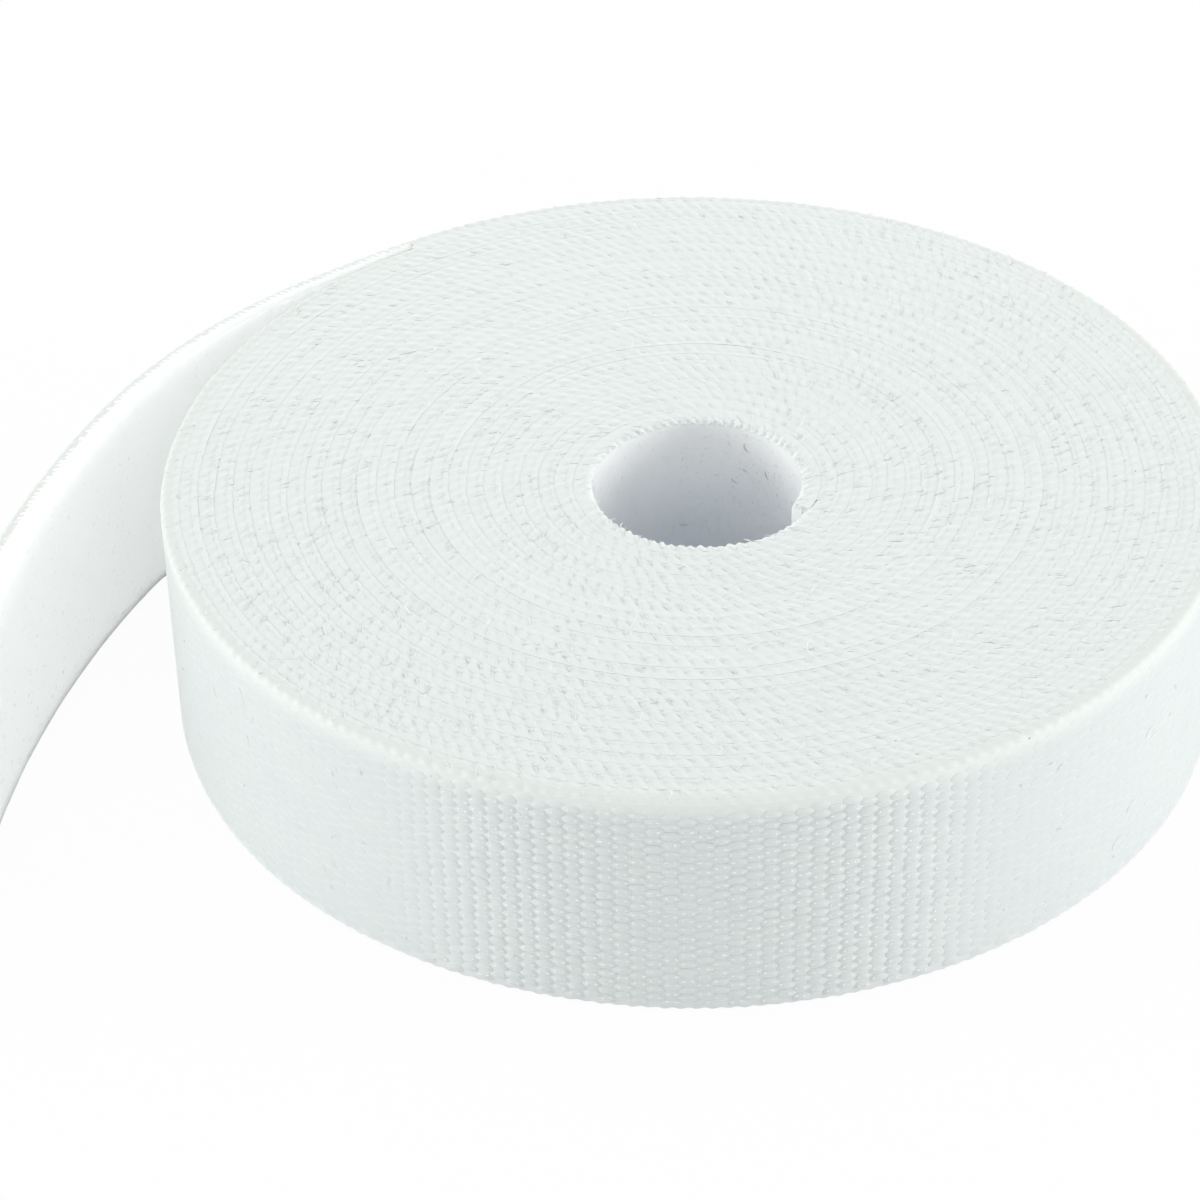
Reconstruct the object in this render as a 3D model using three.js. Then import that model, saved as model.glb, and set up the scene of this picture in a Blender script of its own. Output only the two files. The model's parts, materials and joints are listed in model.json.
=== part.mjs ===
import * as THREE from "three";

// A coreless roll of hook and loop tape, lying flat, with its free end standing off it.
// The tape is two webs back to back: hooks outwards, soft loops towards the bore.
// Lengths are in millimetres and angles in degrees. The roll's axis is +Z, and the free end is on the -X side.

// The tape, from its outer face to its inner face
const tapeWidth = 25;
const hookWebThickness = 0.72;
const filmThickness = 0.1; // the adhesive between the webs
const loopWebThickness = 0.58;
const loopWebMargin = 0.3; // the loop web stops this far short of each edge of the hook web

// The winding, from the bore outwards
const boreRadius = 10.05;
const boreAside = 1.4; // the bore lies off the middle of the roll: this far towards +X
const boreForward = 2.7; // and this far towards -Y, where the wraps are tighter
const wrapSlack = 0.46; // air between one wrap and the next, on the average
const loopCount = 23.42; // so that the strip starts at the right of the bore, a little to the near side
const stepsPerLoop = 22;
const partingAngle = 125; // where the free end leaves the roll

// The free end, which straightens as it leaves the roll, in three runs
const partingGap = 0.3;
const liftLength = 14;
const liftBendRadius = 155;
const turnLength = 32;
const turnBendRadius = 67;
const reachLength = 57;
const reachBendRadius = 131;
const tailStep = 4;

// Finishes
const hookWebColour = "#e7ecea";
const loopWebColour = "#eff1f2";
const hookWebRoughness = 0.75;
const loopWebRoughness = 0.95;

const stripThickness = hookWebThickness + filmThickness + loopWebThickness;
const wrapPitch = stripThickness + wrapSlack;
const rollRadius = boreRadius + stripThickness + loopCount * wrapPitch;

// Where each web lies in the strip, as depths below its outer face, and its two edges
const hookWeb = { top: 0, bottom: hookWebThickness, low: 0, high: tapeWidth };
const loopWeb = {
  top: hookWebThickness + filmThickness,
  bottom: stripThickness,
  low: loopWebMargin,
  high: tapeWidth - loopWebMargin,
};

function along(angle) {
  return new THREE.Vector2(Math.cos(angle), Math.sin(angle));
}

// A station is a point on the strip's outer face and the direction straight out of that face.

// The winding's stations. Each loop's centre moves a little nearer to the middle of the roll than the last one's.
function windingStations() {
  const stations = [];
  const steps = Math.round(loopCount * stepsPerLoop);
  const bore = new THREE.Vector2(boreAside, -boreForward);
  for (let step = 0; step <= steps; step += 1) {
    const loops = (step / steps) * loopCount;
    const angle = THREE.MathUtils.degToRad(partingAngle) + 2 * Math.PI * (loops - loopCount);
    const radius = boreRadius + stripThickness + loops * wrapPitch;
    const centre = bore.clone().multiplyScalar(1 - loops / loopCount);
    stations.push({ point: centre.addScaledVector(along(angle), radius), out: along(angle) });
  }
  return stations;
}

// The free end's stations: arcs that follow on from the winding, starting past the gap where it parts.
function tailStations() {
  const runs = [
    [partingGap, rollRadius],
    [liftLength, liftBendRadius],
    [turnLength, turnBendRadius],
    [reachLength, reachBendRadius],
  ];
  let outward = THREE.MathUtils.degToRad(partingAngle);
  const point = along(outward).multiplyScalar(rollRadius);
  const stations = [];
  for (const [length, bendRadius] of runs) {
    const steps = Math.max(1, Math.round(length / tailStep));
    const turn = length / bendRadius / steps;
    for (let step = 0; step < steps; step += 1) {
      const heading = along(outward + turn / 2 + Math.PI / 2);
      point.addScaledVector(heading, length / steps);
      outward += turn;
      stations.push({ point: point.clone(), out: along(outward) });
    }
  }
  return stations;
}

// The two faces of one web at a station, from its inner face to its outer one.
function facesAt({ point, out }, web) {
  return [
    point.clone().addScaledVector(out, -web.bottom),
    point.clone().addScaledVector(out, -web.top),
  ];
}

// The corners of one web's section at a station.
function sectionAt(station, web) {
  const [inner, outer] = facesAt(station, web);
  return [
    [inner.x, inner.y, web.low],
    [outer.x, outer.y, web.low],
    [outer.x, outer.y, web.high],
    [inner.x, inner.y, web.high],
  ];
}

// One unbroken strip of web: a section at each station, closed at both ends.
function webGeometry(stations, web) {
  const sections = stations.map((station) => sectionAt(station, web));
  const corners = sections[0].length;
  const positions = sections.flat(2);
  const index = [];
  for (let first = 0; first < (stations.length - 1) * corners; first += corners) {
    for (let corner = 0; corner < corners; corner += 1) {
      const here = first + corner;
      const beside = first + ((corner + 1) % corners);
      index.push(here, beside + corners, beside);
      index.push(here, here + corners, beside + corners);
    }
  }
  const last = (stations.length - 1) * corners;
  index.push(0, 1, 2, 0, 2, 3);
  index.push(last, last + 2, last + 1, last, last + 3, last + 2);
  const geometry = new THREE.BufferGeometry();
  geometry.setAttribute("position", new THREE.Float32BufferAttribute(positions, 3));
  geometry.setIndex(index);
  geometry.computeVertexNormals();
  return geometry;
}

// The least distance from a web's outer face to its own inner face one loop further out, on points.
function leastGap(stations, web) {
  const pointsPerStep = 4;
  let least = Infinity;
  for (let step = 0; step + stepsPerLoop + 1 < stations.length; step += 1) {
    const [, start] = facesAt(stations[step], web);
    const [, end] = facesAt(stations[step + 1], web);
    for (let part = 0; part <= pointsPerStep; part += 1) {
      const point = start.clone().lerp(end, part / pointsPerStep);
      for (const neighbour of [step - 1, step, step + 1]) {
        const from = Math.max(neighbour, 0) + stepsPerLoop;
        const to = Math.min(from + 1, stations.length - 1);
        const [a] = facesAt(stations[from], web);
        const [b] = facesAt(stations[to], web);
        const reach = b.clone().sub(a);
        const share = point.clone().sub(a).dot(reach) / Math.max(reach.lengthSq(), Number.EPSILON);
        const nearest = a.addScaledVector(reach, THREE.MathUtils.clamp(share, 0, 1));
        least = Math.min(least, nearest.distanceTo(point));
      }
    }
  }
  return least;
}

function webMesh(name, stations, web, colour, roughness) {
  const material = new THREE.MeshStandardMaterial({ color: colour, roughness, metalness: 0 });
  const mesh = new THREE.Mesh(webGeometry(stations, web), material);
  mesh.name = name;
  return mesh;
}

const winding = windingStations();
const tail = tailStations();

const woundTape = new THREE.Group();
woundTape.add(webMesh("wound_hook_web", winding, hookWeb, hookWebColour, hookWebRoughness));
woundTape.add(webMesh("wound_loop_web", winding, loopWeb, loopWebColour, loopWebRoughness));

const freeEnd = new THREE.Group();
freeEnd.add(webMesh("tail_hook_web", tail, hookWeb, hookWebColour, hookWebRoughness));
freeEnd.add(webMesh("tail_loop_web", tail, loopWeb, loopWebColour, loopWebRoughness));

console.log(`wound_hook_web: least gap to itself ${leastGap(winding, hookWeb).toFixed(2)} mm`);
console.log(`wound_loop_web: least gap to itself ${leastGap(winding, loopWeb).toFixed(2)} mm`);

// The reference point is the middle of the whole outline, on the surface that the roll lies on.
const tapeRoll = new THREE.Group();
tapeRoll.add(woundTape, freeEnd);
const bounds = new THREE.Box3().setFromObject(tapeRoll);
const middle = bounds.getCenter(new THREE.Vector3());
tapeRoll.position.set(-middle.x, -middle.y, -bounds.min.z);

export default tapeRoll;
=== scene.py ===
import json
import math

import bpy
from mathutils import Matrix, Vector, noise


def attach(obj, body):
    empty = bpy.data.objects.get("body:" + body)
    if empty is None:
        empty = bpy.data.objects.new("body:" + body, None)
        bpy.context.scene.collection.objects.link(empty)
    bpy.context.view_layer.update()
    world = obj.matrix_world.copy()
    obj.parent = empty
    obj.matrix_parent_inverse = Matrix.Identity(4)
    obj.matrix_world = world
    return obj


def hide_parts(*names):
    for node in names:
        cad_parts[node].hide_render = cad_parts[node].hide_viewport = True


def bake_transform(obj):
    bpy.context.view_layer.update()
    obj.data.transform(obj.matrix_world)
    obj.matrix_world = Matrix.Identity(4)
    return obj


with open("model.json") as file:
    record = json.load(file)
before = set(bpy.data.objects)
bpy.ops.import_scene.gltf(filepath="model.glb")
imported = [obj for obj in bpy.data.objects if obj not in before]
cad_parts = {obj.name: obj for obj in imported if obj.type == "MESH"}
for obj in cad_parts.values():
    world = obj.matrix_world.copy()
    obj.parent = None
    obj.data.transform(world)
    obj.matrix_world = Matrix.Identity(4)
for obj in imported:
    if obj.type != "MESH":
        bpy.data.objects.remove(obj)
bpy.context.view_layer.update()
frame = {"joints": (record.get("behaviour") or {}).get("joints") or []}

MM = 0.001
UP = Vector((0, 0, 1))

# The tape. Depths are measured inwards from the outer face of the hook web.
TAPE_WIDTH = 25 * MM
HOOK_WEB_DEPTH = 1.25 * MM
LOOP_WEB_DEPTH = 1.07 * MM
LOOP_WEB_MARGIN = 0.008 * MM  # the loop web stops this far short of each edge
END_STEP = 0.12 * MM  # where the strip ends, one web stops this far short of the other
SEAM_LAP = 0.4 * MM  # how far the two webs reach into each other
STRIP_DEPTH = HOOK_WEB_DEPTH + LOOP_WEB_DEPTH - SEAM_LAP

# The weave: a float passes over two picks, and a column of floats turns into one bump at the selvage.
PICK_PITCH = 0.755 * MM
COLUMN_PITCH = 2 * PICK_PITCH
LIP_PITCH = 1.1 * MM  # the bumps of the bore's lip
FLOAT_PITCH = 1.06 * MM  # from one float to the next above it
FLOAT_ROWS = 22
LOWEST_FLOAT = 0.75 * MM  # above the lower edge
FLOAT_SINK = 0.03 * MM  # the last loop's ground and its floats lie this far below the outer face

# The winding, from the bore outwards
BORE_RADIUS = 10.05 * MM
INNER_RADIUS = BORE_RADIUS + STRIP_DEPTH  # the outer face of the tape where it starts
ROLL_RADIUS = 55.01 * MM
LOOPS = 24.42
CALM_LENGTH = 900 * MM  # the ridges start to soften this far before the end of the winding
CALM_RUN = 300 * MM  # and have softened after this length
BORE_ASIDE = 1.4 * MM  # the bore lies this far to the right of the roll's middle
BORE_FORWARD = 2.7 * MM  # and this far nearer to the camera
PARTING_ANGLE = math.radians(125)
WRAP_PITCH = (ROLL_RADIUS - INNER_RADIUS) / LOOPS

# The free end's runs: length and bend radius
TAIL_RUNS = [(14.3 * MM, 155 * MM), (32 * MM, 67 * MM), (57 * MM, 131 * MM)]
PEEL_LENGTH = 28 * MM  # how much of the free end from the parting point a bend would take up if it were peeled off; the point there is looked up but not used

# How close together the points of the paths are
POINTS_PER_LOOP = 640
TAIL_STEP = 0.5 * MM

parting = Vector(frame["joints"][0]["pos_m"])
parting.z = 0


def direction(angle):
    return Vector((math.cos(angle), math.sin(angle), 0))


roll_centre = parting - ROLL_RADIUS * direction(PARTING_ANGLE)


# Camera, at the photograph's angle

CAMERA_PLACE = roll_centre + Vector((0.20, -305.88, 231.64)) * MM
CAMERA_ELEVATION = math.radians(35.53)
CAMERA_YAW = math.radians(1.427)
CAMERA_PITCH = math.radians(-0.643)
CAMERA_ROLL = math.radians(0.11)
LENS_MM = 108.96
SENSOR_MM = 36


def make_camera():
    """Aims the camera over the roll's axis, then turns it a little left, down and about its own axis."""
    ahead = Vector((0, math.cos(CAMERA_ELEVATION), -math.sin(CAMERA_ELEVATION)))
    right = Vector((1, 0, 0))
    up = right.cross(ahead)
    yaw = Matrix.Rotation(CAMERA_YAW, 3, up)
    ahead, right = yaw @ ahead, yaw @ right
    pitch = Matrix.Rotation(CAMERA_PITCH, 3, right)
    ahead, up = pitch @ ahead, pitch @ up
    tilt = Matrix.Rotation(CAMERA_ROLL, 3, ahead)
    right, up = tilt @ right, tilt @ up
    data = bpy.data.cameras.new("camera")
    data.lens = LENS_MM
    data.sensor_width = SENSOR_MM
    camera = bpy.data.objects.new("camera", data)
    turn = Matrix((right, up, -ahead)).transposed().to_4x4()
    camera.matrix_world = Matrix.Translation(CAMERA_PLACE) @ turn
    bpy.context.scene.collection.objects.link(camera)
    bpy.context.scene.camera = camera


make_camera()


# The paths that the tape is wound on: its outer face at the lower edge, with the small unevenness
# of a winding done by hand.

WANDER = 0.16 * MM  # in and out, neighbouring wraps together
WRAP_WANDER = 0.1 * MM  # in and out, each wrap by itself
LIFT = 0.08 * MM  # up off the floor
PROUD_WRAPS = [(8.7, 0.1 * MM), (12.1, 0.09 * MM)]  # loop number and how far it stands up
PROUD_SPREAD = 1.3  # the loops to each side that stand up with it
SETTLE_LOOPS = 0.6  # the unevenness dies out over this much of the last loop


def winding_point(loops):
    """A point of the winding, so many loops out from the start of the tape."""
    angle = PARTING_ANGLE + 2 * math.pi * (loops - LOOPS)
    x, y, _ = direction(angle)
    settled = min(1, (LOOPS - loops) / SETTLE_LOOPS)
    radius = INNER_RADIUS + loops * WRAP_PITCH
    radius += settled * WANDER * noise.noise(Vector((1.6 * x, 1.6 * y, 0.2 * loops)))
    radius += settled * WRAP_WANDER * noise.noise(Vector((3 * x + 9, 3 * y, 2.3 * loops)))
    lift = LIFT * (0.5 + noise.noise(Vector((0.9 * x, 0.9 * y + 5, 0.15 * loops))))
    for wrap, height in PROUD_WRAPS:
        lift += height * math.exp(-((loops - wrap) / PROUD_SPREAD) ** 2)
    centre = Vector((BORE_ASIDE, -BORE_FORWARD, 0)) * (1 - loops / LOOPS)
    return roll_centre + centre + direction(angle) * radius + UP * settled * lift


def winding_points():
    count = math.ceil(LOOPS * POINTS_PER_LOOP)
    return [winding_point(LOOPS * i / count) for i in range(count + 1)]


def tail_points():
    """Arc after arc from the parting point, each following on from the last."""
    outward, point = PARTING_ANGLE, winding_point(LOOPS)
    points = [point]
    for length, bend_radius in TAIL_RUNS:
        count = math.ceil(length / TAIL_STEP)
        turn = length / bend_radius / count
        for _ in range(count):
            point = point + direction(outward + turn / 2 + math.pi / 2) * (length / count)
            outward += turn
            points.append(point)
    return points


def path_curve(name, points):
    data = bpy.data.curves.new(name, "CURVE")
    data.dimensions = "3D"
    line = data.splines.new("POLY")
    line.points.add(len(points) - 1)
    for spot, point in zip(line.points, points):
        spot.co = (*point, 1)
    curve = bpy.data.objects.new(name, data)
    bpy.context.scene.collection.objects.link(curve)
    return curve


def length_of(points):
    return sum((b - a).length for a, b in zip(points, points[1:]))


# Node trees, for geometry and for finishes


class Value:
    """An output of a node. Arithmetic on it adds Math nodes."""

    def __init__(self, net, socket):
        self.net = net
        self.socket = socket

    def __add__(self, other):
        return self.net.math("ADD", self, other)

    def __radd__(self, other):
        return self.net.math("ADD", other, self)

    def __sub__(self, other):
        return self.net.math("SUBTRACT", self, other)

    def __rsub__(self, other):
        return self.net.math("SUBTRACT", other, self)

    def __mul__(self, other):
        return self.net.math("MULTIPLY", self, other)

    def __rmul__(self, other):
        return self.net.math("MULTIPLY", other, self)

    def __truediv__(self, other):
        return self.net.math("DIVIDE", self, other)

    def __neg__(self):
        return self.net.math("MULTIPLY", self, -1.0)


def socket_named(sockets, name):
    return next(s for s in sockets if s.enabled and s.name == name)


class Net:
    """A node tree being built."""

    def __init__(self, tree):
        self.tree = tree

    def feed(self, socket, value):
        if isinstance(value, Value):
            self.tree.links.new(value.socket, socket)
        else:
            socket.default_value = value

    def add(self, kind, settings=None, output=None, **inputs):
        """Adds a node with its settings and inputs, and returns its first or its named output."""
        node = self.tree.nodes.new(kind)
        for key, value in (settings or {}).items():
            setattr(node, key, value)
        for label, value in inputs.items():
            self.feed(socket_named(node.inputs, label.replace("_", " ")), value)
        if output:
            return Value(self, socket_named(node.outputs, output))
        return Value(self, next(s for s in node.outputs if s.enabled))

    def math(self, operation, *values):
        node = self.tree.nodes.new("ShaderNodeMath")
        node.operation = operation
        for socket, value in zip(node.inputs, values):
            self.feed(socket, value)
        return Value(self, node.outputs[0])

    def vector(self, operation, first, second):
        node = self.tree.nodes.new("ShaderNodeVectorMath")
        node.operation = operation
        sockets = [s for s in node.inputs if s.enabled]
        self.feed(sockets[0], first)
        self.feed(sockets[1], second)
        return Value(self, next(s for s in node.outputs if s.enabled))

    def split(self, vector):
        node = self.tree.nodes.new("ShaderNodeSeparateXYZ")
        self.feed(node.inputs[0], vector)
        return [Value(self, socket) for socket in node.outputs]

    def join(self, x, y, z):
        return self.add("ShaderNodeCombineXYZ", X=x, Y=y, Z=z)

    def ramp(self, value, low, high, start=0.0, end=1.0):
        """value from low to high becomes start to end, eased at both ends."""
        return self.add(
            "ShaderNodeMapRange",
            {"interpolation_type": "SMOOTHSTEP"},
            Value=value,
            From_Min=low,
            From_Max=high,
            To_Min=start,
            To_Max=end,
        )


SOCKETS = {
    float: "NodeSocketFloat",
    int: "NodeSocketInt",
    Vector: "NodeSocketVector",
    bpy.types.Material: "NodeSocketMaterial",
}


class Tree(Net):
    """A Geometry Nodes tree that makes tape lying flat and then winds it on a path.

    Flat tape runs along x, from its lower edge at y 0 to its upper one, with the hook face at z 0
    facing +z.
    """

    def __init__(self, name, **inputs):
        super().__init__(bpy.data.node_groups.new(name, "GeometryNodeTree"))
        self.tree.is_modifier = True
        face = self.tree.interface
        face.new_socket("Geometry", in_out="OUTPUT", socket_type="NodeSocketGeometry")
        face.new_socket("Geometry", in_out="INPUT", socket_type="NodeSocketGeometry")
        for label, kind in inputs.items():
            face.new_socket(label.replace("_", " "), in_out="INPUT", socket_type=SOCKETS[kind])
        self.entry = self.tree.nodes.new("NodeGroupInput")
        self.result = self.tree.nodes.new("NodeGroupOutput")

    def size(self, label):
        return Value(self, self.entry.outputs[label])

    def position(self):
        return self.add("GeometryNodeInputPosition")

    def index(self):
        return self.add("GeometryNodeInputIndex")

    def chance(self, low, high, which, shift=0):
        """A random number that is always the same for one value of which."""
        return self.add(
            "FunctionNodeRandomValue",
            {"data_type": "FLOAT"},
            Min=low,
            Max=high,
            ID=which,
            Seed=self.size("Seed") + shift,
        )

    def place(self, geometry, position):
        return self.add("GeometryNodeSetPosition", Geometry=geometry, Position=position)

    def sample_path(self, along):
        """The path's point and direction so far along it."""
        spot = self.tree.nodes.new("GeometryNodeSampleCurve")
        spot.mode = "LENGTH"
        self.feed(spot.inputs["Curves"], self.size("Geometry"))
        self.feed(socket_named(spot.inputs, "Length"), along)
        return Value(self, spot.outputs["Position"]), Value(self, spot.outputs["Tangent"])

    def looseness(self, along):
        """1 at the roll's left and right, where the wraps lie loosely, and 0 at its near and far sides."""
        _, tangent = self.sample_path(along)
        aside = self.split(tangent)[1]
        return aside * aside

    def wind(self, flat):
        """Marks each point with its place on the flat tape, then moves it onto the path."""
        marked = self.add(
            "GeometryNodeStoreNamedAttribute",
            {"data_type": "FLOAT_VECTOR", "domain": "POINT"},
            Geometry=flat,
            Name="tape",
            Value=self.position(),
        )
        along, across, out = self.split(self.position())
        point, tangent = self.sample_path(along)
        outward = self.add(
            "ShaderNodeVectorMath",
            {"operation": "NORMALIZE"},
            Vector=self.vector("CROSS_PRODUCT", tangent, tuple(UP)),
        )
        moved = self.vector("ADD", point, self.vector("MULTIPLY", outward, self.join(out, out, out)))
        return self.place(marked, self.vector("ADD", moved, self.join(0.0, 0.0, across)))

    def finish(self, flat, smooth=True):
        """Ends the tree with real geometry in one finish, wound on the path."""
        real = self.add("GeometryNodeRealizeInstances", Geometry=flat)
        smooth = self.add("GeometryNodeSetShadeSmooth", Geometry=self.wind(real), Shade_Smooth=smooth)
        painted = self.add("GeometryNodeSetMaterial", Geometry=smooth, Material=self.size("Finish"))
        self.feed(self.result.inputs["Geometry"], painted)


def grow(name, tree, path, **sizes):
    """The plain mesh that a tree makes on a path with these sizes, as a piece at the origin."""
    modifier = path.modifiers.new("tree", "NODES")
    modifier.node_group = tree.tree
    for item in tree.tree.interface.items_tree:
        label = item.name.replace(" ", "_")
        if item.in_out == "INPUT" and label in sizes:
            modifier[item.identifier] = sizes.pop(label)
    if sizes:
        raise ValueError(f"{tree.tree.name} has no input {', '.join(sizes)}")
    graph = bpy.context.evaluated_depsgraph_get()
    mesh = bpy.data.meshes.new_from_object(path.evaluated_get(graph), depsgraph=graph)
    path.modifiers.remove(modifier)
    mesh.name = name
    piece = bpy.data.objects.new(name, mesh)
    bpy.context.scene.collection.objects.link(piece)
    return piece


# Finishes

RIM_BAND = (3.0 * MM, 0.3 * MM)  # the hook web takes its upper edge's colour between these depths; on the last loop that colour is a painted highlight along the rim
NAP_BAND = (0.7 * MM, 0.3 * MM)  # and the loop web its own between these
LIT_START_STRETCH = (15 * MM, 55 * MM)  # where the free end's painted light at its beginning, in place of the roll's shade there, fades out
SPECK_CELL = 1.8 * MM  # the specks' spacing if every cell had one
SPECK_SHARE = 0.05  # the share of the cells that have one
SPECK = (0.3, 0.33, 0.33, 1)
EDGE_WHITE = (0.765, 0.80, 0.78, 1)
RIM_HIGHLIGHT_WHITE = (0.745, 0.775, 0.745, 1)  # the outermost loop's upper edge, painted lighter and faintly yellow: a painted highlight along the rim
LIT_LIP_WHITE = (0.93, 0.95, 0.96, 1)  # the bore's wall, painted lighter towards its lip: painted light
UPPER_LIT_WHITE = (0.95, 0.96, 0.945, 1)  # the free end's inner face, painted lighter towards its upper edge: painted light
PALE_LIT_WHITE = (0.98, 0.985, 0.975, 1)  # and painted lighter where it leaves the roll: painted light in place of the roll's shade there
YARN_GLOW = 0.15 * MM  # how far light travels inside the white yarn
THIN_GLOW = 4 * MM  # and in the free end, which is a single layer that light goes through


def new_finish(name, colour, roughness, sheen=0.0, glow=YARN_GLOW):
    """A material with its main numbers on the shader itself. Light travels about as far as glow inside it."""
    material = bpy.data.materials.new(name)
    material.use_nodes = True
    net = Net(material.node_tree)
    shader = material.node_tree.nodes["Principled BSDF"]
    shader.inputs["Base Color"].default_value = (*colour, 1)
    shader.inputs["Roughness"].default_value = roughness
    shader.inputs["Sheen Weight"].default_value = sheen
    shader.inputs["Sheen Roughness"].default_value = 0.4
    if glow:
        shader.inputs["Subsurface Weight"].default_value = 1.0
        shader.inputs["Subsurface Radius"].default_value = (1.0, 1.0, 1.0)
        shader.inputs["Subsurface Scale"].default_value = glow
    material.diffuse_color = (*colour, 1)
    return material, net, shader


def tape_place(net, stretch):
    """The place on the flat tape, stretched so that a pattern runs with the weave."""
    place = net.add("ShaderNodeAttribute", {"attribute_name": "tape"}, output="Vector")
    return net.vector("MULTIPLY", place, stretch)


def blended(net, share, first, second):
    """Two colours mixed: share 0 gives the first and 1 the second."""
    node = net.tree.nodes.new("ShaderNodeMix")
    node.data_type = "RGBA"
    for label, value in (("Factor", share), ("A", first), ("B", second)):
        net.feed(socket_named(node.inputs, label), value)
    return Value(net, socket_named(node.outputs, "Result"))


def mottled(net, colour, tint, amount):
    """colour, drifting in patches towards tint."""
    patches = net.add(
        "ShaderNodeTexNoise",
        Vector=tape_place(net, (1, 1, 1)),
        Scale=140.0,
        Detail=4.0,
        Roughness=0.6,
    )
    return blended(net, net.ramp(patches, 0.4, 0.68, 0.0, amount), (*colour, 1), (*tint, 1))


def specked(net, colour):
    """colour with a few tiny dark specks, one or two to a square centimetre."""
    node = net.tree.nodes.new("ShaderNodeTexVoronoi")
    net.feed(socket_named(node.inputs, "Vector"), tape_place(net, (1, 1, 1)))
    net.feed(socket_named(node.inputs, "Scale"), 1 / SPECK_CELL)
    picked = net.math("GREATER_THAN", net.split(Value(net, node.outputs["Color"]))[0], 1 - SPECK_SHARE)
    near = net.ramp(Value(net, node.outputs["Distance"]), 0.03, 0.08, 0.8, 0.0)
    return blended(net, near * picked, colour, SPECK)


def bumps(net, shader, height, distance, strength=1.0):
    relief = net.add("ShaderNodeBump", Strength=strength, Distance=distance, Height=height)
    net.feed(shader.inputs["Normal"], relief)


def woven_finish(name, colour, tint, edge, glow=YARN_GLOW):
    """Textured nylon yarn: fine filaments along the warp, crossed by the picks.

    The upper edge goes to the colour edge; on the last loop's face and its floats that colour is a painted
    highlight along the rim.
    """
    material, net, shader = new_finish(name, colour, 0.62, 0.8, glow)
    across = net.split(tape_place(net, (1, 1, 1)))[1]
    # upper paints the colour edge in near the upper edge: on the outer face this is a painted rim highlight
    upper = net.ramp(across, TAPE_WIDTH - RIM_BAND[0], TAPE_WIDTH - RIM_BAND[1], 0.0, 0.9)
    shade = blended(net, upper, mottled(net, colour, tint, 0.8), edge)
    net.feed(shader.inputs["Base Color"], specked(net, shade))
    filaments = net.add(
        "ShaderNodeTexNoise",
        Vector=tape_place(net, (1500, 9000, 9000)),
        Scale=1.0,
        Detail=3.0,
        Roughness=0.65,
    )
    picks = net.add(
        "ShaderNodeTexNoise",
        Vector=tape_place(net, (4200, 4200, 4200)),
        Scale=1.0,
        Detail=2.0,
    )
    bumps(net, shader, filaments * 0.6 + picks * 0.4, 0.03 * MM)
    net.feed(shader.inputs["Roughness"], net.ramp(filaments, 0.3, 0.7, 0.52, 0.74))
    return material


def napped_finish(name, colour, tint, upper, reach, glow=YARN_GLOW, first=None):
    """Brushed loops seen as a soft ground, quite matt.

    Over the last part of the width, reach, it goes to the colour upper, which on the bore's wall and the free
    end is painted light. If the colour first is given, the tape starts with it: painted light where the free
    end leaves the roll.
    """
    material, net, shader = new_finish(name, colour, 0.95, 1.0, glow)
    along, across, _ = net.split(tape_place(net, (1, 1, 1)))
    height = net.ramp(across, TAPE_WIDTH - reach, TAPE_WIDTH - NAP_BAND[0])
    edge = net.ramp(across, TAPE_WIDTH - NAP_BAND[0], TAPE_WIDTH - NAP_BAND[1])
    shade = blended(net, height, mottled(net, colour, tint, 0.7), upper)
    # first paints light over the free end's beginning, in place of the shade that the roll casts there
    if first:
        shade = blended(net, net.ramp(along, *LIT_START_STRETCH, 1.0, 0.0), shade, first)
    net.feed(shader.inputs["Base Color"], specked(net, blended(net, edge, shade, EDGE_WHITE)))
    curls = net.add(
        "ShaderNodeTexNoise",
        Vector=tape_place(net, (2600, 3400, 3400)),
        Scale=1.0,
        Detail=5.0,
        Roughness=0.7,
    )
    bumps(net, shader, curls, 0.045 * MM)
    return material


def fibre_finish(name, colour, roughness, sheen=0.0):
    """Single filaments, slightly uneven in brightness along their length."""
    material, net, shader = new_finish(name, colour, roughness, sheen, 0.0)
    net.feed(shader.inputs["Base Color"], mottled(net, colour, [0.96 * c for c in colour], 1.0))
    wear = net.add("ShaderNodeTexNoise", Vector=tape_place(net, (1, 1, 1)), Scale=3000.0, Detail=2.0)
    bumps(net, shader, wear, 0.02 * MM, 0.5)
    return material


woven_white = woven_finish("woven_white", (0.765, 0.80, 0.78), (0.74, 0.775, 0.78), EDGE_WHITE)
# The last loop's face and its floats: darker copies of the hook web's white, painted shade for the roll's
# front, which gets less light than its top
outer_white = woven_finish("outer_white", (0.695, 0.73, 0.72), (0.68, 0.72, 0.72), RIM_HIGHLIGHT_WHITE, glow=0.0)
float_white = woven_finish("float_white", (0.655, 0.69, 0.68), (0.64, 0.68, 0.68), RIM_HIGHLIGHT_WHITE, glow=0.0)
napped_white = napped_finish("napped_white", (0.775, 0.81, 0.79), (0.75, 0.783, 0.79), EDGE_WHITE, 2 * MM)
# The bore's wall: its bluish tint is painted shade, and its lighter part towards the lip is painted light
shaded_white = napped_finish("shaded_white", (0.80, 0.84, 0.885), (0.77, 0.815, 0.87), LIT_LIP_WHITE, 16 * MM)
# The free end's loop web: painted lighter than the roll's loop web, painted light besides the light that
# passes through it
thin_white = napped_finish(
    "thin_white", (0.89, 0.91, 0.89), (0.875, 0.90, 0.885), UPPER_LIT_WHITE, 9 * MM, THIN_GLOW, PALE_LIT_WHITE
)
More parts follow.
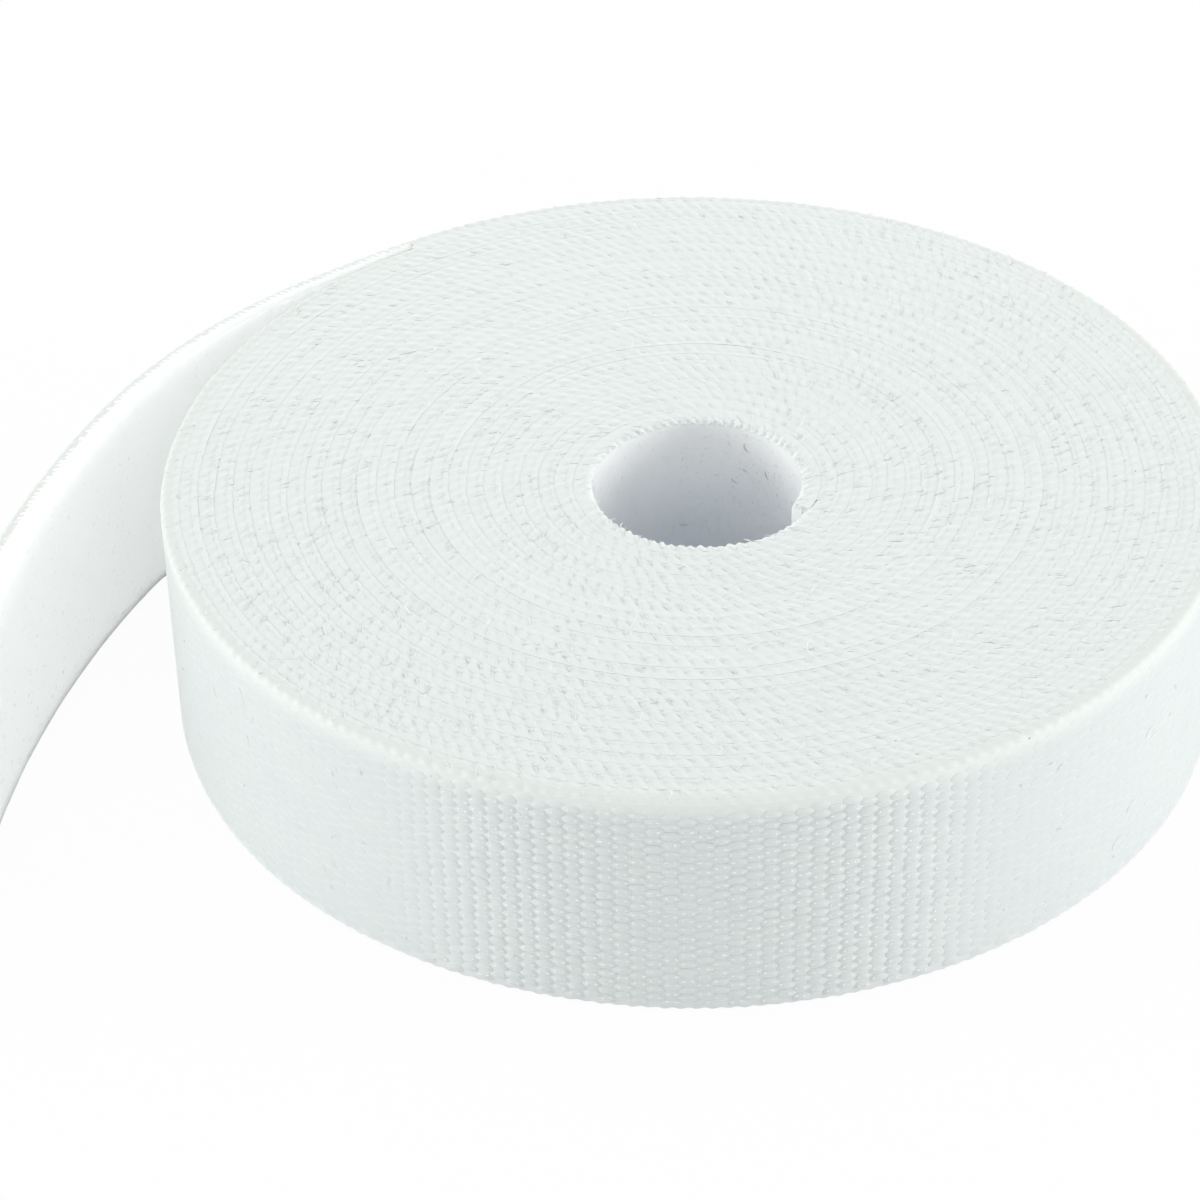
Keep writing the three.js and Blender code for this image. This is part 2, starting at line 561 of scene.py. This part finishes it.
# The filaments: much lighter than the floats they lie on, a painted glint
clear_filament = fibre_finish("clear_filament", (0.84, 0.875, 0.86), 0.35)
loop_fibre = fibre_finish("loop_fibre", (0.88, 0.90, 0.89), 0.7, sheen=0.3)
dull_fibre = fibre_finish("dull_fibre", (0.42, 0.46, 0.48), 0.7)
# Dark fibres that stand for the shadows of loose fibres: painted shadow
dust_fibre = fibre_finish("dust_fibre", (0.55, 0.58, 0.58), 0.7)


# Trees

BAR_SIDES = 12
RIDGE_BUMPS = 5  # neighbouring bumps that stand equally high
SMOOTH_FROM = 0.3  # faces that look up or down more than this are shaded smooth
FLAT_LOOSENESS = 0.36  # the floats have faded where the wraps lie as loosely as this
UPPER_FADE = (2.6 * MM, 0.8 * MM)  # and they fade between these depths below the upper edge


def web_tree():
    """One web of the tape: a closed bar with a bump at its edges where each pick turns.

    The edges of both webs share one crown over the strip's depth. Shoulder rounds off the outer face's
    edges, and Lip the inner face's.
    """
    tree = Tree(
        "web",
        First=float,
        Last=float,
        Step=float,
        Low=float,
        High=float,
        Top=float,
        Depth=float,
        Rounding=float,
        Crown=float,
        Pitch=float,
        Slant=float,
        Relief=float,
        Bulge=float,
        Calm=float,
        Shoulder=float,
        Lip=float,
        Seed=int,
        Finish=bpy.types.Material,
    )
    first, last = tree.size("First"), tree.size("Last")
    line = tree.add(
        "GeometryNodeCurvePrimitiveLine", Start=tree.join(first, 0.0, 0.0), End=tree.join(last, 0.0, 0.0)
    )
    count = tree.math("ROUND", (last - first) / tree.size("Step")) + 1.0
    line = tree.add("GeometryNodeResampleCurve", Curve=line, Count=count)
    line = tree.add("GeometryNodeSetCurveNormal", {"mode": "Z_UP"}, Curve=line)
    # The ring's flat sides, not its corners, lie at a distance of 1
    turn = math.pi / BAR_SIDES
    ring = tree.add("GeometryNodeCurvePrimitiveCircle", Resolution=BAR_SIDES, Radius=1 / math.cos(turn))
    ring = tree.add("GeometryNodeTransform", Geometry=ring, Rotation=(0, 0, turn))
    bar = tree.add("GeometryNodeCurveToMesh", Curve=line, Profile_Curve=ring, Fill_Caps=True)

    # side runs from -1 at the lower edge to 1 at the upper, and face from -1 inside to 1 outside
    along, side, face = tree.split(tree.position())
    edge = tree.math("SIGN", side)
    half = (tree.size("High") - tree.size("Low")) * 0.5 - tree.size("Rounding")
    middle = (tree.size("High") + tree.size("Low")) * 0.5
    out = face * (tree.size("Depth") * 0.5) - tree.size("Depth") * 0.5 - tree.size("Top")

    # One bump in each pitch, slanting through the depth, and each of its own height
    phase = (along - tree.size("Slant") * out) / tree.size("Pitch")
    bump = tree.math("FLOOR", phase)
    through = tree.math("ABSOLUTE", (phase - bump) * 2.0 - 1.0)
    swell = tree.ramp(through, 0.0, 1.0, 1.0, 0.0)
    swell = swell * tree.chance(0.55, 1.15, bump * 2.0 + edge) - 0.6
    loose = tree.looseness(along)
    reach = swell * tree.size("Relief") * (1.0 - loose * 0.4)

    # The ridge that each wrap makes: the edges fall off from the middle of the strip's depth to its faces
    group = tree.math("FLOOR", bump / float(RIDGE_BUMPS))
    ridge = tree.chance(0.35, 1.15, group * 2.0 + edge, 7) * (loose * 0.93 + 0.07)
    ridge = ridge * tree.ramp(along, tree.size("Calm"), tree.size("Calm") + CALM_RUN, 1.0, 0.15)
    aside = (out + STRIP_DEPTH / 2) / (STRIP_DEPTH / 2)
    pillow = reach * (1.0 - aside * aside * 0.92)
    across = middle + edge * (half - aside * aside * ridge * tree.size("Crown") + pillow)

    # The outer face's shoulder and the inner face's lip
    outer, inner = tree.math("MAXIMUM", face, 0.0), tree.math("MAXIMUM", -face, 0.0)
    wave = swell * tree.size("Bulge")
    fall = outer * outer * tree.size("Shoulder") * (edge * 0.4 + 0.6 - wave * 0.3)
    fall = fall + inner * inner * tree.size("Lip") * (1.0 - wave * 0.5)
    across = across + side * tree.size("Rounding") - edge * fall

    # The bumps also stand out of the faces, near the edges
    bulge = reach * tree.size("Bulge")
    out = out + face * bulge * tree.ramp(tree.math("ABSOLUTE", side), 0.3, 0.85)

    upright = tree.math("ABSOLUTE", tree.split(tree.add("GeometryNodeInputNormal", output="Normal"))[2])
    smooth = tree.math("GREATER_THAN", upright, SMOOTH_FROM)
    tree.finish(tree.place(bar, tree.join(along, across, out)), smooth)
    return tree


def prominence(tree, along, across):
    """How much of their height the floats have: less at the roll's left and right and near the upper edge."""
    share = 1.0 - tree.size("Fade") * tree.ramp(tree.looseness(along), 0.0, FLAT_LOOSENESS)
    return share * tree.ramp(across, TAPE_WIDTH - UPPER_FADE[0], TAPE_WIDTH - UPPER_FADE[1], 1.0, 0.3)


def float_tree():
    """The floats on the hook face: rounded bricks in columns, every second column set half a step up."""
    tree = Tree(
        "floats",
        First=float,
        Columns=int,
        Rows=int,
        Column_Pitch=float,
        Row_Pitch=float,
        Low=float,
        Fade=float,
        Relief=float,
        Tilt=float,
        Seed=int,
        Finish=bpy.types.Material,
    )
    rows = tree.size("Rows")
    number = tree.index() + 0.0  # as a float, for the divisions
    column = tree.math("FLOOR", number / rows)
    row = number - column * rows
    stagger = tree.math("FLOORED_MODULO", column, 2.0) * 0.5
    column_pitch, row_pitch = tree.size("Column Pitch"), tree.size("Row Pitch")
    along = tree.size("First") + (column + 0.5 + tree.chance(-0.06, 0.06, tree.index(), 1)) * column_pitch
    across = tree.size("Low") + (row + stagger + tree.chance(-0.07, 0.07, tree.index(), 2)) * row_pitch
    share = prominence(tree, along, across)
    relief = tree.size("Relief") * share
    out = relief * (tree.chance(-0.12, 0.08, tree.index(), 3) - 0.46) - FLOAT_SINK
    points = tree.add("GeometryNodePoints", Count=tree.size("Columns") * rows)
    points = tree.place(points, tree.join(along, across, out))
    ball = tree.add("GeometryNodeMeshUVSphere", output="Mesh", Segments=8, Rings=4, Radius=1.0)
    ball = tree.add("GeometryNodeTransform", Geometry=ball, Rotation=(0, 0, math.pi / 8))
    # The ball becomes a brick: squarer, and with its ends drawn down
    round_x, round_y, z = tree.split(tree.position())
    x, y = [
        tree.math("SIGN", part) * tree.math("POWER", tree.math("ABSOLUTE", part), 0.7)
        for part in (round_x, round_y)
    ]
    height = (y * 0.6 - x * x * 0.2 + 0.1) * row_pitch
    brick = tree.place(ball, tree.join(x * column_pitch * 0.76, height, z))
    made = tree.add(
        "GeometryNodeInstanceOnPoints",
        Points=points,
        Instance=brick,
        Rotation=tree.join(
            (tree.size("Tilt") + tree.chance(-0.02, 0.02, tree.index(), 4)) * share,
            tree.chance(-0.02, 0.02, tree.index(), 5) * share,
            tree.chance(-0.12, 0.12, tree.index(), 6),
        ),
        Scale=tree.join(
            tree.chance(0.93, 1.03, tree.index(), 7), tree.chance(0.86, 1.0, tree.index(), 8), relief
        ),
    )
    tree.finish(made)
    return tree


def filament_tree():
    """The filaments that hold the floats: two short turns on each brick, a little above its middle."""
    tree = Tree(
        "filaments",
        First=float,
        Columns=int,
        Rows=int,
        Column_Pitch=float,
        Row_Pitch=float,
        Low=float,
        Fade=float,
        Out=float,
        Gauge=float,
        Seed=int,
        Finish=bpy.types.Material,
    )
    per_column = tree.size("Rows") * 2.0
    number = tree.index() + 0.0  # as a float, for the divisions
    column = tree.math("FLOOR", number / per_column)
    row = tree.math("FLOOR", (number - column * per_column) / 2.0)
    hand = tree.math("FLOORED_MODULO", number, 2.0) - 0.5
    stagger = tree.math("FLOORED_MODULO", column, 2.0) * 0.5
    column_pitch, row_pitch = tree.size("Column Pitch"), tree.size("Row Pitch")
    along = column + 0.5 + hand * 0.5 + tree.chance(-0.05, 0.05, tree.index(), 1)
    across = row + stagger + 0.16 + tree.chance(-0.1, 0.1, tree.index(), 2)
    along = tree.size("First") + along * column_pitch
    across = tree.size("Low") + across * row_pitch
    share = prominence(tree, along, across)
    out = tree.size("Out") * share - FLOAT_SINK - (1.0 - share) * tree.size("Gauge") * 0.4
    spot = tree.join(along, across, out)
    points = tree.place(tree.add("GeometryNodePoints", Count=tree.size("Columns") * per_column), spot)
    ball = tree.add("GeometryNodeMeshUVSphere", output="Mesh", Segments=6, Rings=3, Radius=1.0)
    x, y, z = tree.split(tree.position())
    gauge = tree.size("Gauge")
    turn = tree.place(ball, tree.join(x * gauge * 1.9, (y - x * x * 0.5) * gauge, z * gauge * 0.6))
    made = tree.add(
        "GeometryNodeInstanceOnPoints",
        Points=points,
        Instance=turn,
        Rotation=tree.join(0.0, 0.0, tree.chance(-0.35, 0.35, tree.index(), 3)),
        Scale=tree.join(
            tree.chance(0.5, 1.25, tree.index(), 4),
            tree.chance(0.6, 1.2, tree.index(), 5),
            tree.math("MAXIMUM", tree.chance(-0.5, 1.2, tree.index(), 6), 0.05) * share,
        ),
    )
    tree.finish(made)
    return tree


def scattered(tree, strand, turn, scale):
    """Copies of a strand at random places of the flat tape, standing along Stand and then turned."""
    number = tree.index()
    spot = tree.join(
        tree.chance(tree.size("First"), tree.size("Last"), number, 1),
        tree.chance(tree.size("Low"), tree.size("High"), number, 2),
        tree.chance(tree.size("Near"), tree.size("Far"), number, 3),
    )
    points = tree.place(tree.add("GeometryNodePoints", Count=tree.size("Count")), spot)
    stand = tree.add("FunctionNodeAlignRotationToVector", {"axis": "Z"}, Vector=tree.size("Stand"))
    spin = tree.add("FunctionNodeRotateRotation", {"rotation_space": "LOCAL"}, Rotation=stand, Rotate_By=turn)
    kind = "GeometryNodeInstanceOnPoints"
    return tree.add(kind, Points=points, Instance=strand, Rotation=spin, Scale=scale)


def curl_tree():
    """Small curls of fibre that stand out of a face or an edge: the pile of the loop web."""
    tree = Tree(
        "curls",
        First=float,
        Last=float,
        Low=float,
        High=float,
        Near=float,
        Far=float,
        Count=int,
        Stand=Vector,
        Turn=float,
        Spread=float,
        Span=float,
        Rise=float,
        Gauge=float,
        Seed=int,
        Finish=bpy.types.Material,
    )
    number = tree.index()
    arc = tree.add("GeometryNodeCurveArc", Resolution=5, Radius=1.0, Start_Angle=-0.5, Sweep_Angle=4.1)
    ring = tree.add("GeometryNodeCurvePrimitiveCircle", Resolution=3, Radius=tree.size("Gauge") * 0.5)
    x, y, z = tree.split(tree.position())
    span = tree.size("Span")
    arc = tree.place(arc, tree.join(x * span * 0.5, x * y * span * 0.2, y * tree.size("Rise")))
    curl = tree.add("GeometryNodeCurveToMesh", Curve=arc, Profile_Curve=ring, Fill_Caps=True)
    heading = tree.size("Turn") + tree.chance(-1.0, 1.0, number, 6) * tree.size("Spread")
    lean = tree.size("Spread") / 7.0
    lean_x, lean_y = [tree.chance(-1.0, 1.0, number, shift) * lean for shift in (4, 5)]
    turn = tree.join(lean_x, lean_y, heading)
    size = tree.chance(0.6, 1.25, number, 7)
    tree.finish(scattered(tree, curl, turn, tree.join(size, size, size)))
    return tree


def hair_tree():
    """Single loose hairs, bent to an arc, lying on an edge or on a face."""
    tree = Tree(
        "hairs",
        First=float,
        Last=float,
        Low=float,
        High=float,
        Near=float,
        Far=float,
        Count=int,
        Stand=Vector,
        Length=float,
        Gauge=float,
        Seed=int,
        Finish=bpy.types.Material,
    )
    number = tree.index()
    sweep = 1.8
    arc = tree.add("GeometryNodeCurveArc", Resolution=9, Radius=1.0, Start_Angle=0.67, Sweep_Angle=sweep)
    x, y, z = tree.split(tree.position())
    reach = tree.size("Length") / sweep
    arc = tree.place(arc, tree.join(x * reach, (y - 0.85) * reach, z + x * y * reach * 0.12))
    ring = tree.add("GeometryNodeCurvePrimitiveCircle", Resolution=4, Radius=tree.size("Gauge") * 0.5)
    hair = tree.add("GeometryNodeCurveToMesh", Curve=arc, Profile_Curve=ring, Fill_Caps=True)
    turn = tree.join(tree.chance(-0.06, 0.06, number, 4), 0.0, tree.chance(0.0, 6.28, number, 5))
    scale = tree.join(tree.chance(0.5, 1.3, number, 6), tree.chance(0.15, 1.3, number, 7), 1.0)
    tree.finish(scattered(tree, hair, turn, scale))
    return tree


# The paths, and how far along them things are

winding = winding_points()
tail = tail_points()
winding_length = length_of(winding)
tail_length = length_of(tail)
winding_path = path_curve("winding_path", winding)
tail_path = path_curve("tail_path", tail)

last_loop = length_of([winding_point(LOOPS - 1 + i / POINTS_PER_LOOP) for i in range(POINTS_PER_LOOP + 1)])
last_columns = round(last_loop / COLUMN_PITCH)
face_start = winding_length - last_columns * COLUMN_PITCH
half_way = 0.5 * winding_length
bore_length = 2 * math.pi * BORE_RADIUS
lip_length = 2.2 * math.pi * INNER_RADIUS  # past the first loop, so that the coarser bumps stay hidden
tail_columns = int(tail_length / COLUMN_PITCH)

web = web_tree()
floats = float_tree()
filaments = filament_tree()
curls = curl_tree()
hairs = hair_tree()


def wound(name, slot, tree, *nodes, **sizes):
    """A piece of the roll, which stands in for these nodes of the solids."""
    piece = grow(name, tree, winding_path, **sizes)
    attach(piece, "roll")
    if nodes:
        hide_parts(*nodes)


def peeled(name, slot, tree, *nodes, **sizes):
    """A piece of the free end, made on the tail's path.

    Light from the side goes through the free end, so its pieces cast no shadow.
    """
    piece = grow(name, tree, tail_path, **sizes)
    away = min(tail, key=lambda point: abs((point - parting).length - PEEL_LENGTH))
    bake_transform(piece)
    if nodes:
        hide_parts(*nodes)
    piece.visible_shadow = False
    return piece


# The sizes that pieces share. Each set starts from another one.
WEB = dict(
    Rounding=0.015 * MM,
    Crown=0.11 * MM,
    Pitch=COLUMN_PITCH,
    Slant=0.6,
    Relief=0.14 * MM,
    Bulge=0.2,
    Calm=winding_length - CALM_LENGTH,
    Shoulder=0.0,
    Lip=0.0,
    Seed=11,
)
HOOK_WEB = dict(
    WEB,
    Low=0.0,
    High=TAPE_WIDTH,
    Top=0.0,
    Depth=HOOK_WEB_DEPTH,
    Step=COLUMN_PITCH / 6,
    Finish=woven_white,
)
OUTER_WEB = dict(
    HOOK_WEB,
    Top=FLOAT_SINK,
    Depth=HOOK_WEB_DEPTH - FLOAT_SINK,
    Crown=0.02 * MM,
    Relief=0.08 * MM,
    Bulge=1.2,
    Shoulder=0.45 * MM,
    Finish=outer_white,
)
LOOP_WEB = dict(
    WEB,
    Low=LOOP_WEB_MARGIN,
    High=TAPE_WIDTH - LOOP_WEB_MARGIN,
    Top=HOOK_WEB_DEPTH - SEAM_LAP,
    Depth=LOOP_WEB_DEPTH,
    Step=COLUMN_PITCH / 4,
    Finish=napped_white,
)
BORE_WEB = dict(
    LOOP_WEB,
    Step=LIP_PITCH / 8,
    Pitch=LIP_PITCH,
    Relief=0.13 * MM,
    Bulge=2.5,
    Lip=0.25 * MM,
    Seed=21,
    Finish=shaded_white,
)
TAIL_WEB = dict(LOOP_WEB, Step=PICK_PITCH / 5, Pitch=PICK_PITCH, Seed=22, Finish=thin_white)

FACE = dict(
    Fade=0.95, Column_Pitch=COLUMN_PITCH, Row_Pitch=FLOAT_PITCH, Rows=FLOAT_ROWS, Low=LOWEST_FLOAT
)
FLOATS = dict(FACE, Relief=0.3 * MM, Tilt=0.1, Finish=float_white)
FILAMENTS = dict(FACE, Out=0.13 * MM, Gauge=0.12 * MM, Finish=clear_filament)
TAIL_FACE = dict(First=0.0, Columns=tail_columns, Fade=0.3)

INWARDS = (0, 0, -1)
OUTWARDS = (0, 0, 1)
UPWARDS = (0, 1, 0)
INNER_FACE = -STRIP_DEPTH

NAP = dict(
    Near=INNER_FACE,
    Far=INNER_FACE + 0.08 * MM,
    Stand=INWARDS,
    Turn=0.0,
    Spread=math.pi,
    Span=0.42 * MM,
    Finish=loop_fibre,
)
EDGE_PILE = dict(
    Low=TAPE_WIDTH - 0.11 * MM,
    High=TAPE_WIDTH - 0.05 * MM,
    Near=INNER_FACE,
    Far=-0.6 * MM,
    Stand=UPWARDS,
    Turn=-1.03,
    Spread=0.45,
    Span=0.85 * MM,
    Rise=0.05 * MM,
    Gauge=0.1 * MM,
    Finish=loop_fibre,
)

WHOLE_TOP = dict(Last=winding_length, Near=INNER_FACE, Far=-0.7 * MM, Stand=UPWARDS)
TOP_HAIRS = dict(
    WHOLE_TOP,
    First=0.0,
    Low=TAPE_WIDTH + 0.06 * MM,
    High=TAPE_WIDTH + 0.2 * MM,
    Count=110,
    Length=3.2 * MM,
    Gauge=0.07 * MM,
    Seed=71,
    Finish=loop_fibre,
)
TOP_SHADOW_FIBRES = dict(
    WHOLE_TOP,
    First=14 * MM,
    Low=TAPE_WIDTH - 0.02 * MM,
    High=TAPE_WIDTH + 0.04 * MM,
    Count=170,
    Length=0.9 * MM,
    Gauge=0.045 * MM,
    Seed=77,
    Finish=dust_fibre,
)
OUTER_FACE = dict(
    First=face_start, Last=winding_length, Low=2 * MM, High=TAPE_WIDTH - 2 * MM, Stand=OUTWARDS
)
FACE_SHADOW_FIBRES = dict(
    OUTER_FACE,
    Near=-0.02 * MM,
    Far=0.03 * MM,
    Count=70,
    Length=0.7 * MM,
    Gauge=0.045 * MM,
    Seed=75,
    Finish=dust_fibre,
)
FACE_HAIRS = dict(
    OUTER_FACE,
    Near=0.03 * MM,
    Far=0.08 * MM,
    Count=60,
    Length=2.2 * MM,
    Gauge=0.06 * MM,
    Seed=72,
    Finish=loop_fibre,
)
BORE_HAIRS = dict(
    First=0.0,
    Last=bore_length,
    Low=5 * MM,
    High=TAPE_WIDTH - 2 * MM,
    Near=INNER_FACE - 0.04 * MM,
    Far=INNER_FACE - 0.02 * MM,
    Count=16,
    Stand=INWARDS,
    Length=1.5 * MM,
    Gauge=0.07 * MM,
    Seed=73,
    Finish=dull_fibre,
)

# The roll's hook web: three lengths of one unbroken strip, and its last loop, which shows its face
cuts = [round(share * face_start / COLUMN_PITCH) * COLUMN_PITCH for share in (1 / 3, 2 / 3)]
cuts = [END_STEP, *cuts, face_start]
for number, (first, last) in enumerate(zip(cuts, cuts[1:]), 1):
    name = f"hook_web_length_{number}"
    wound(name, "hook_web", web, "wound_hook_web", First=first, Last=last, **HOOK_WEB)
name = "hook_web_last_loop"
wound(name, "hook_web", web, "wound_hook_web", First=face_start, Last=winding_length, **OUTER_WEB)

# Its loop web: fine at the bore, where its lip shows, and coarser between the wraps
wound("loop_web_bore", "loop_web", web, "wound_loop_web", First=0.0, Last=lip_length, **BORE_WEB)
cuts = [lip_length, half_way, winding_length - END_STEP]
for number, (first, last) in enumerate(zip(cuts, cuts[1:]), 1):
    name = f"loop_web_length_{number}"
    wound(name, "loop_web", web, "wound_loop_web", First=first, Last=last, **LOOP_WEB)

# The last loop's face: the first half of its length lies on the left, the second on the right
half_columns = last_columns // 4 * 2
for side, start, end in (("left", 0, half_columns), ("right", half_columns, last_columns)):
    place = dict(First=face_start + start * COLUMN_PITCH, Columns=end - start)
    wound(f"{side}_floats", "hook_web", floats, Seed=31 + start, **place, **FLOATS)
    wound(f"{side}_filaments", "hook_web", filaments, Seed=41 + start, **place, **FILAMENTS)

# Pile on the bore's wall and along the upper edges of all the wraps
wound(
    "bore_pile",
    "loop_web",
    curls,
    First=0.0,
    Last=bore_length,
    Low=0.6 * MM,
    High=TAPE_WIDTH - 0.6 * MM,
    Count=1500,
    Rise=0.06 * MM,
    Gauge=0.05 * MM,
    Seed=51,
    **NAP,
)
for number, (first, last) in enumerate(((0.0, half_way), (half_way, winding_length)), 1):
    name = f"edge_pile_{number}"
    wound(name, "loop_web", curls, First=first, Last=last, Count=3000, Seed=60 + number, **EDGE_PILE)

# Loose hairs on top and on the outer face, dark fibres there that are painted shadows of loose fibres, and a
# few dull hairs on the bore's wall
wound("top_hairs", "loop_web", hairs, **TOP_HAIRS)
wound("top_dust", "loop_web", hairs, **TOP_SHADOW_FIBRES)
wound("face_dust", "hook_web", hairs, **FACE_SHADOW_FIBRES)
wound("face_hairs", "hook_web", hairs, **FACE_HAIRS)
wound("bore_hairs", "loop_web", hairs, **BORE_HAIRS)

# The free end. Its hook web lets scattered light through to its loop web.
ground = peeled(
    "tail_hook_web_ground", "hook_web", web, "tail_hook_web", First=0.0, Last=tail_length, **OUTER_WEB
)
ends = dict(First=END_STEP, Last=tail_length - END_STEP)
peeled("tail_loop_web_ground", "loop_web", web, "tail_loop_web", **ends, **TAIL_WEB)
bricks = peeled("tail_floats", "hook_web", floats, Seed=32, **dict(FLOATS, **TAIL_FACE))
turns = peeled("tail_filaments", "hook_web", filaments, Seed=42, **dict(FILAMENTS, **TAIL_FACE))
for piece in (ground, bricks, turns):
    piece.visible_diffuse = False
peeled(
    "tail_pile",
    "loop_web",
    curls,
    First=0.3 * MM,
    Last=tail_length - 0.3 * MM,
    Low=0.5 * MM,
    High=TAPE_WIDTH - 0.5 * MM,
    Count=2500,
    Rise=0.05 * MM,
    Gauge=0.04 * MM,
    Seed=52,
    **NAP,
)

for path in (winding_path, tail_path):
    bpy.data.objects.remove(path)


# Floor, backdrop and light

FLOOR_SIZE = 4.0
FLOOR_WHITE = 0.93  # how much of the floor's own white the camera sees; the rest shows the shadow


def make_floor():
    mesh = bpy.data.meshes.new("floor")
    reach = FLOOR_SIZE / 2
    corners = [(-reach, -reach, 0), (reach, -reach, 0), (reach, reach, 0), (-reach, reach, 0)]
    mesh.from_pydata(corners, [], [(0, 1, 2, 3)])
    floor = bpy.data.objects.new("floor", mesh)
    bpy.context.scene.collection.objects.link(floor)
    material = bpy.data.materials.new("pale_floor")
    material.use_nodes = True
    net = Net(material.node_tree)
    nodes = material.node_tree.nodes
    nodes.remove(nodes["Principled BSDF"])
    ray = net.add("ShaderNodeLightPath", output="Is Camera Ray")
    paper = net.add("ShaderNodeBsdfDiffuse", Color=(0.9, 0.9, 0.9, 1))
    white = net.add("ShaderNodeEmission", Color=(1, 1, 1, 1), Strength=1.0)
    blend = nodes.new("ShaderNodeMixShader")
    net.feed(blend.inputs[0], ray * FLOOR_WHITE)
    net.feed(blend.inputs[1], paper)
    net.feed(blend.inputs[2], white)
    net.feed(nodes["Material Output"].inputs["Surface"], Value(net, blend.outputs[0]))
    mesh.materials.append(material)


def make_world():
    """White to the camera, and an even light on the object."""
    world = bpy.data.worlds.new("studio")
    bpy.context.scene.world = world
    world.use_nodes = True
    net = Net(world.node_tree)
    nodes = world.node_tree.nodes
    nodes.remove(nodes["Background"])
    ray = net.add("ShaderNodeLightPath", output="Is Camera Ray")
    room = net.add("ShaderNodeBackground", Color=(0.985, 1, 1, 1), Strength=0.9)
    backdrop = net.add("ShaderNodeBackground", Color=(1, 1, 1, 1), Strength=1.0)
    blend = nodes.new("ShaderNodeMixShader")
    net.feed(blend.inputs[0], ray)
    net.feed(blend.inputs[1], room)
    net.feed(blend.inputs[2], backdrop)
    net.feed(nodes["World Output"].inputs["Surface"], Value(net, blend.outputs[0]))


def make_lamp(name, towards, strength, spread):
    """A wide soft lamp that shines in one direction. strength is in W/m2, and spread in degrees."""
    data = bpy.data.lights.new(name, "SUN")
    data.energy = strength
    data.angle = math.radians(spread)
    lamp = bpy.data.objects.new(name, data)
    lamp.matrix_world = Vector(towards).to_track_quat("-Z", "Y").to_matrix().to_4x4()
    bpy.context.scene.collection.objects.link(lamp)


make_floor()
make_world()
make_lamp("left_side", (1, 0, -0.07), 2.1, 40)
make_lamp("right_side", (-1, 0, -0.07), 2.25, 40)
bpy.context.scene.view_settings.view_transform = "Standard"
